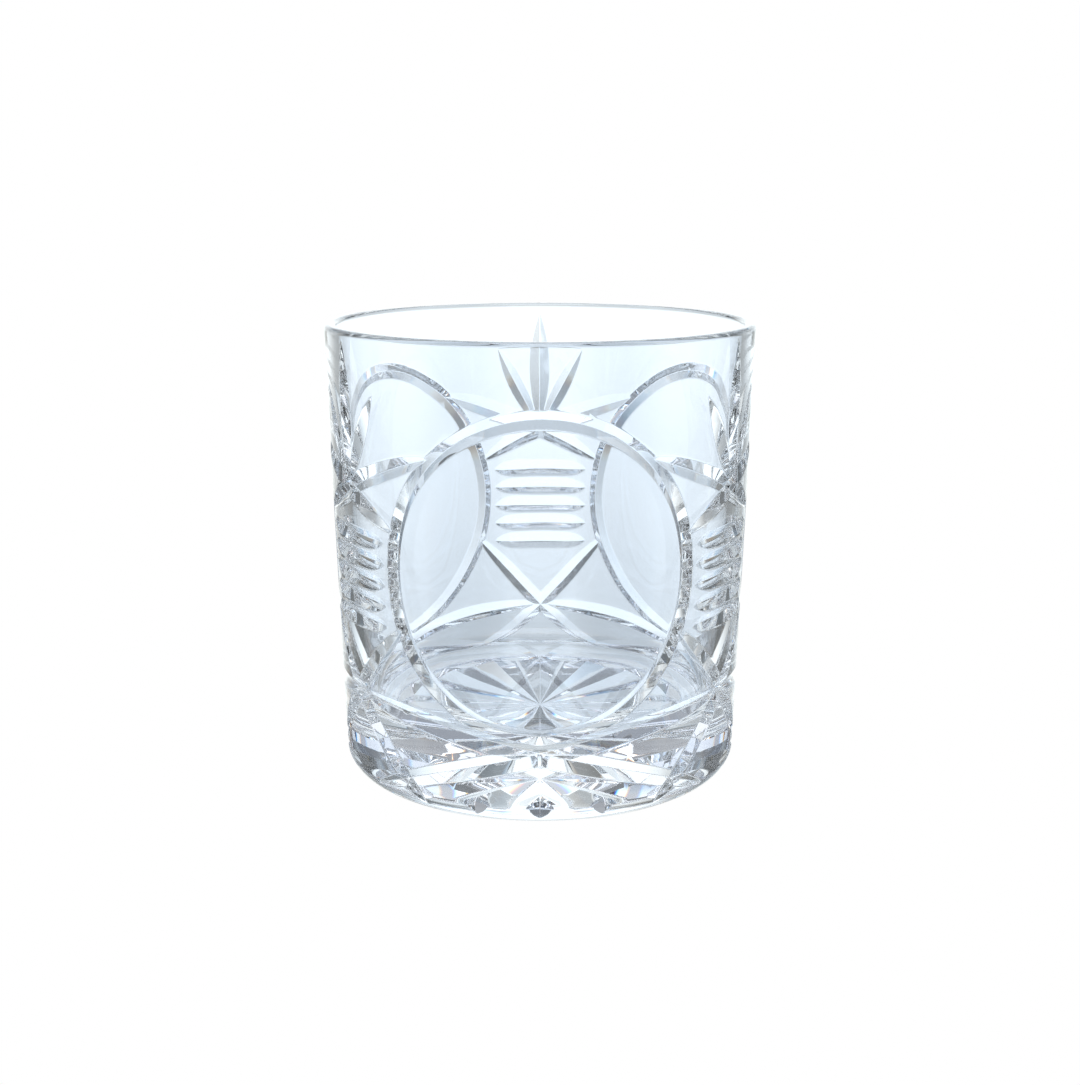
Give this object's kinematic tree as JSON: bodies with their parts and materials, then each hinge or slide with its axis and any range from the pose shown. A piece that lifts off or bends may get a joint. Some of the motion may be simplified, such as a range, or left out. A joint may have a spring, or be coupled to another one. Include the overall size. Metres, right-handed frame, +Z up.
{
  "type": "whiskey tumbler",
  "caption": "Clear cut-glass tumbler with round panels, leaf and ladder cuts, long crossing arcs, a thin rounded rim and a heavy star-cut base.",
  "frame": {"origin": "centre of the contact ring, on the surface that the glass stands on", "axes": "+Z up along the axis of the glass; -Y through the middle of one round panel"},
  "size_m": [0.085, 0.085, 0.0905],
  "materials": {
    "crystal": "fire-polished clear crystal with polished mitre cuts"
  },
  "bodies": {
    "root": {"tumbler_glass": "crystal"}
  },
  "joints": []
}
